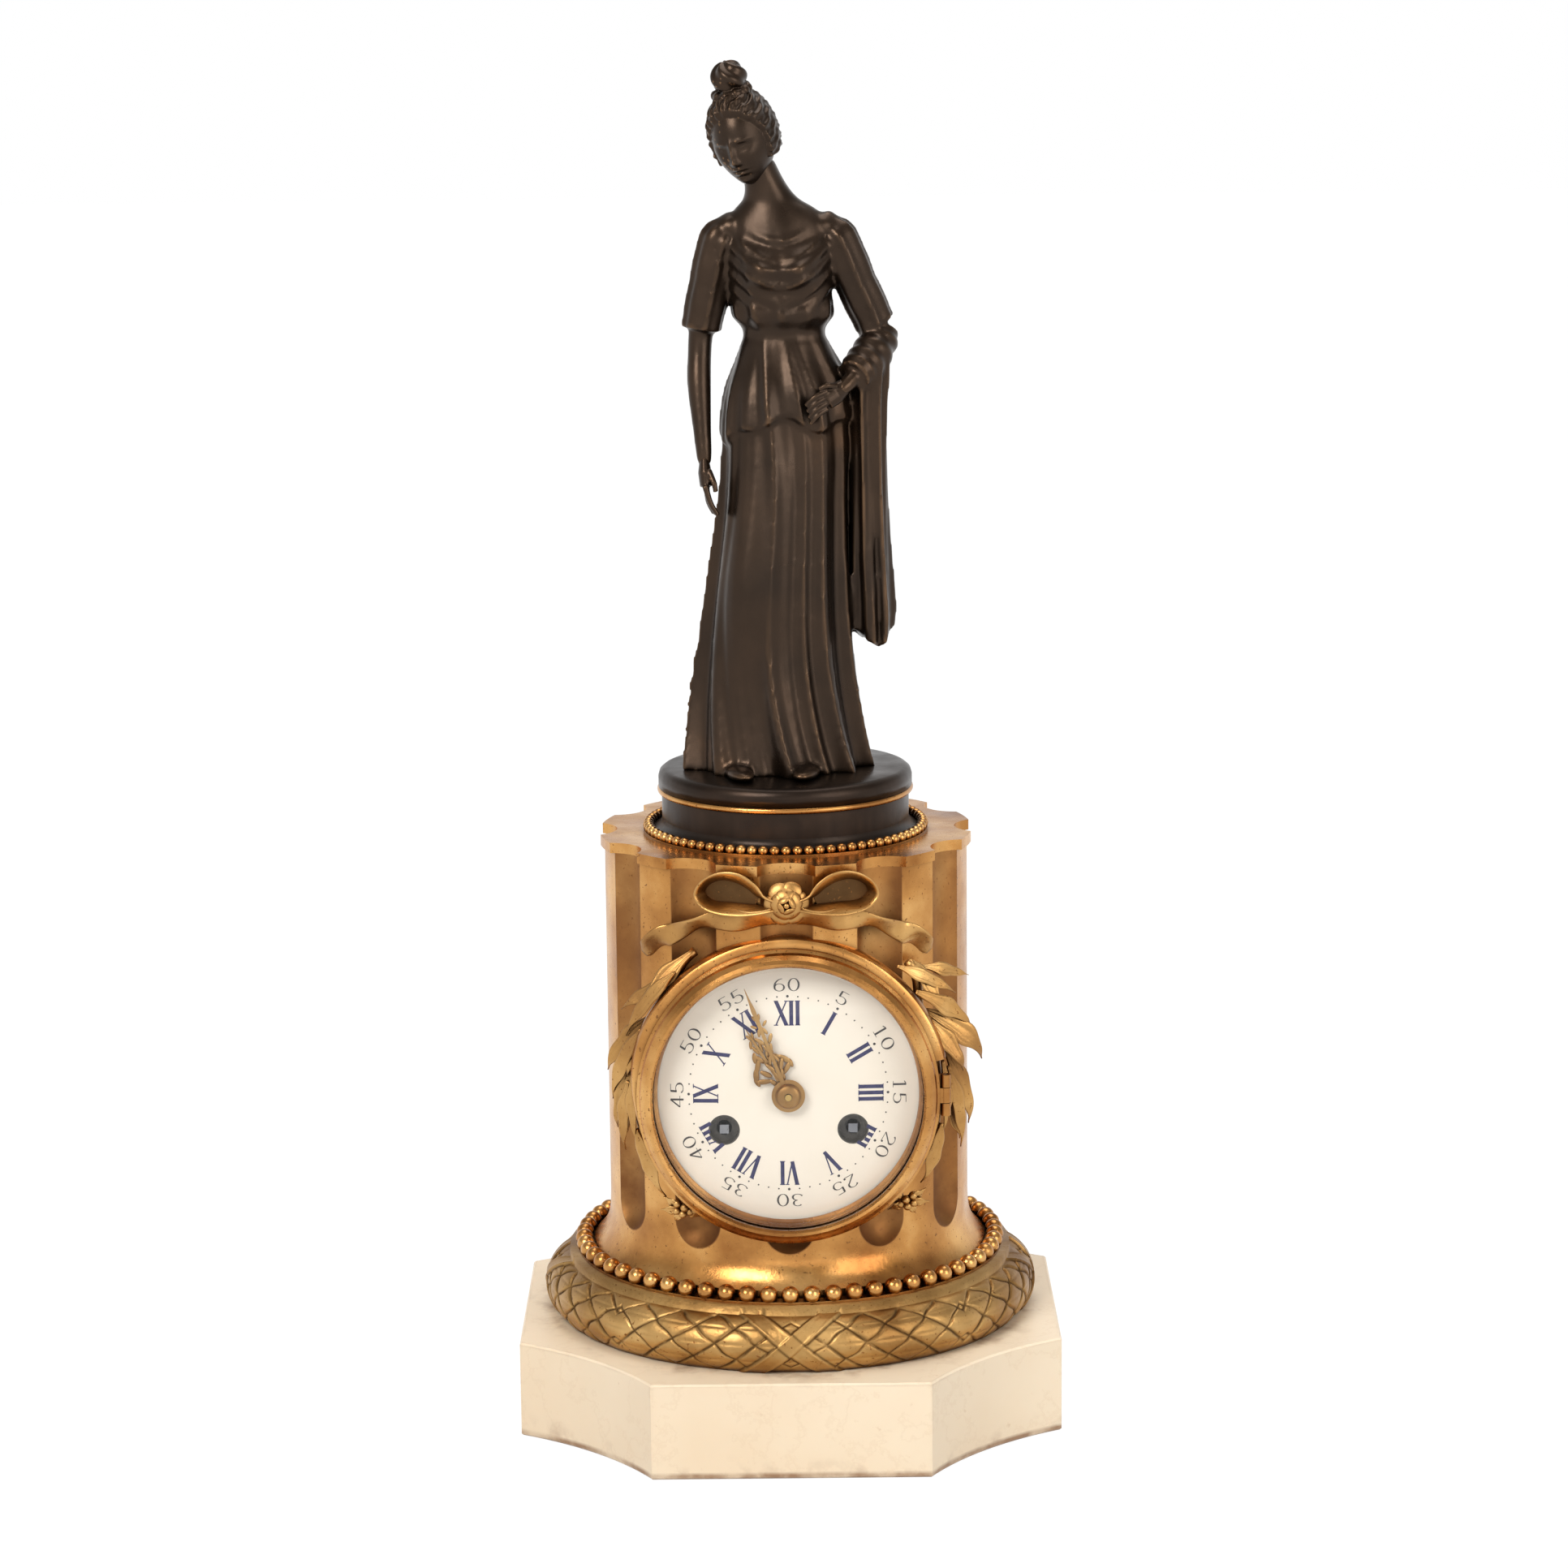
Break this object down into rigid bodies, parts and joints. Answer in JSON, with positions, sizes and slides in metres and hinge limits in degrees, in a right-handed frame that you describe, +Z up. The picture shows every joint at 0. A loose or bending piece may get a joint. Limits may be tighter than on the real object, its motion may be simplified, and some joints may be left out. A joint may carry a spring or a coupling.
{
  "type": "figural mantel clock",
  "caption": "Neoclassical mantel clock: fluted gilt column with a drum movement and enamel dial on a marble plinth, topped by a dark bronze draped figure.",
  "frame": {"origin": "centre of the plinth underside", "axes": "+Z up along the column, dial faces -Y, +X to the viewer's right"},
  "size_m": [0.182, 0.182, 0.4564],
  "materials": {
    "cream_marble": "honed, softly polished",
    "gilt_bronze": "mercury gilt, matte and burnished",
    "polished_brass": "polished and lacquered",
    "blued_steel": "polished, lightly blued",
    "dark_bronze": "dark brown patina with rubbed edges",
    "clear_glass": "clear, polished",
    "white_enamel": "glossy fired enamel",
    "bell_metal": "turned, satin"
  },
  "bodies": {
    "case": {"plinth": "cream_marble", "base_bolts": "blued_steel", "torus_base": "gilt_bronze", "lower_bead_ring": "gilt_bronze", "column": "gilt_bronze", "top_plate": "gilt_bronze", "top_plate_screws": "blued_steel", "upper_bead_ring": "gilt_bronze", "socle": "dark_bronze", "socle_fillet": "gilt_bronze", "figure": "dark_bronze", "figure_clamp": "blued_steel", "front_drum": "gilt_bronze", "ribbon_bow": "gilt_bronze", "laurel_left": "gilt_bronze", "laurel_right": "gilt_bronze", "hinge_pins": "blued_steel", "rear_drum": "gilt_bronze", "dial": "white_enamel", "dial_plate": "polished_brass", "front_plate": "polished_brass", "back_plate": "polished_brass", "plate_pillars": "polished_brass", "movement_straps": "polished_brass", "strap_screws": "blued_steel", "back_cock": "polished_brass", "suspension_spring": "blued_steel", "bell": "bell_metal", "bell_stand": "blued_steel"},
    "bezel": {"bezel": "gilt_bronze", "bezel_glass": "clear_glass", "glass_retainer": "gilt_bronze"},
    "rear_door": {"rear_door": "gilt_bronze"},
    "minute_hand": {"cannon_pinion": "blued_steel", "minute_hand": "gilt_bronze"},
    "minute_work": {"minute_wheel": "polished_brass"},
    "hour_hand": {"hour_wheel": "polished_brass", "hour_hand": "gilt_bronze"},
    "going_second": {"going_second_wheel": "polished_brass"},
    "center": {"center_wheel": "polished_brass"},
    "third": {"third_wheel": "polished_brass"},
    "escape": {"escape_wheel": "polished_brass"},
    "anchor": {"anchor": "blued_steel"},
    "pendulum": {"pendulum_rod": "blued_steel", "pendulum_bob": "polished_brass"},
    "rating_nut": {"rating_nut": "polished_brass"},
    "strike_second": {"strike_second_wheel": "polished_brass"},
    "pin": {"pin_wheel": "polished_brass"},
    "fly": {"fly": "polished_brass"},
    "hammer": {"hammer": "blued_steel"},
    "going_barrel": {"going_barrel": "polished_brass", "going_barrel_cover": "polished_brass", "going_mainspring": "blued_steel"},
    "going_winding": {"going_arbor": "blued_steel"},
    "going_click": {"going_click": "blued_steel"},
    "strike_barrel": {"strike_barrel": "polished_brass", "strike_barrel_cover": "polished_brass", "strike_mainspring": "blued_steel"},
    "strike_winding": {"strike_arbor": "blued_steel"},
    "strike_click": {"strike_click": "blued_steel"}
  },
  "joints": [
    {"name": "bezel_hinge", "type": "hinge", "parent": "case", "child": "bezel", "pos_m": [0.0516, -0.063, 0.122], "axis": [0, 0, 1], "range_deg": [0, 110]},
    {"name": "rear_door_hinge", "type": "hinge", "parent": "case", "child": "rear_door", "pos_m": [0.0516, 0.062, 0.122], "axis": [0, 0, -1], "range_deg": [0, 110]},
    {"name": "minute_turn", "type": "hinge", "parent": "case", "child": "minute_hand", "pos_m": [0, 0, 0.122], "axis": [0, 1, 0], "continuous": true},
    {"name": "minute_work_turn", "type": "hinge", "parent": "case", "child": "minute_work", "pos_m": [0, 0, 0.11], "axis": [0, 1, 0], "continuous": true},
    {"name": "hour_turn", "type": "hinge", "parent": "case", "child": "hour_hand", "pos_m": [0, 0, 0.122], "axis": [0, 1, 0], "continuous": true},
    {"name": "third_turn", "type": "hinge", "parent": "case", "child": "third", "pos_m": [0.0108, 0, 0.132], "axis": [0, 1, 0], "continuous": true},
    {"name": "escape_turn", "type": "hinge", "parent": "case", "child": "escape", "pos_m": [0, 0, 0.14], "axis": [0, 1, 0], "continuous": true},
    {"name": "center_turn", "type": "hinge", "parent": "case", "child": "center", "pos_m": [0, 0, 0.122], "axis": [0, 1, 0], "continuous": true},
    {"name": "going_second_turn", "type": "hinge", "parent": "case", "child": "going_second", "pos_m": [0.0029, 0, 0.10553], "axis": [0, 1, 0], "continuous": true},
    {"name": "going_barrel_turn", "type": "hinge", "parent": "case", "child": "going_barrel", "pos_m": [0.02122, 0, 0.10975], "axis": [0, 1, 0], "continuous": true},
    {"name": "going_winding_turn", "type": "hinge", "parent": "case", "child": "going_winding", "pos_m": [0.02122, 0, 0.10975], "axis": [0, 1, 0], "continuous": true},
    {"name": "going_click_lift", "type": "hinge", "parent": "case", "child": "going_click", "pos_m": [0.02731, 0, 0.1195], "axis": [0, -1, 0], "range_deg": [0, 12]},
    {"name": "pin_turn", "type": "hinge", "parent": "case", "child": "pin", "pos_m": [-0.01692, 0, 0.14006], "axis": [0, 1, 0], "continuous": true},
    {"name": "strike_second_turn", "type": "hinge", "parent": "case", "child": "strike_second", "pos_m": [-0.01795, 0, 0.12826], "axis": [0, 1, 0], "continuous": true},
    {"name": "fly_turn", "type": "hinge", "parent": "case", "child": "fly", "pos_m": [-0.02697, 0, 0.13829], "axis": [0, 1, 0], "continuous": true},
    {"name": "strike_barrel_turn", "type": "hinge", "parent": "case", "child": "strike_barrel", "pos_m": [-0.02122, 0, 0.10975], "axis": [0, 1, 0], "continuous": true},
    {"name": "strike_winding_turn", "type": "hinge", "parent": "case", "child": "strike_winding", "pos_m": [-0.02122, 0, 0.10975], "axis": [0, 1, 0], "continuous": true},
    {"name": "strike_click_lift", "type": "hinge", "parent": "case", "child": "strike_click", "pos_m": [-0.02731, 0, 0.1195], "axis": [0, 1, 0], "range_deg": [0, 12]},
    {"name": "hammer_lift", "type": "hinge", "parent": "case", "child": "hammer", "pos_m": [-0.037, 0, 0.13], "axis": [0, -1, 0], "range_deg": [-1.5, 14]},
    {"name": "pendulum_swing", "type": "hinge", "parent": "case", "child": "pendulum", "pos_m": [0, 0.004, 0.152], "axis": [0, 1, 0], "range_deg": [-4, 4]},
    {"name": "anchor_rock", "type": "hinge", "parent": "case", "child": "anchor", "pos_m": [0, 0, 0.152], "axis": [0, 1, 0], "range_deg": [-5, 5]},
    {"name": "rating_nut_turn", "type": "hinge", "parent": "pendulum", "child": "rating_nut", "pos_m": [0, 0.004, 0.0415], "axis": [0, 0, 1], "continuous": true}
  ],
  "couplings": [
    {"joint": "escape_turn", "follows": "third_turn", "ratio": -11},
    {"joint": "center_turn", "follows": "third_turn", "ratio": -0.095238},
    {"joint": "going_second_turn", "follows": "third_turn", "ratio": 0.013605},
    {"joint": "going_barrel_turn", "follows": "third_turn", "ratio": -0.002381},
    {"joint": "strike_second_turn", "follows": "pin_turn", "ratio": -0.15625},
    {"joint": "strike_barrel_turn", "follows": "pin_turn", "ratio": 0.027344},
    {"joint": "fly_turn", "follows": "pin_turn", "ratio": -7.5},
    {"joint": "minute_work_turn", "follows": "minute_turn", "ratio": -0.33333},
    {"joint": "hour_turn", "follows": "minute_turn", "ratio": 0.083333},
    {"joint": "anchor_rock", "follows": "pendulum_swing", "ratio": 1}
  ]
}
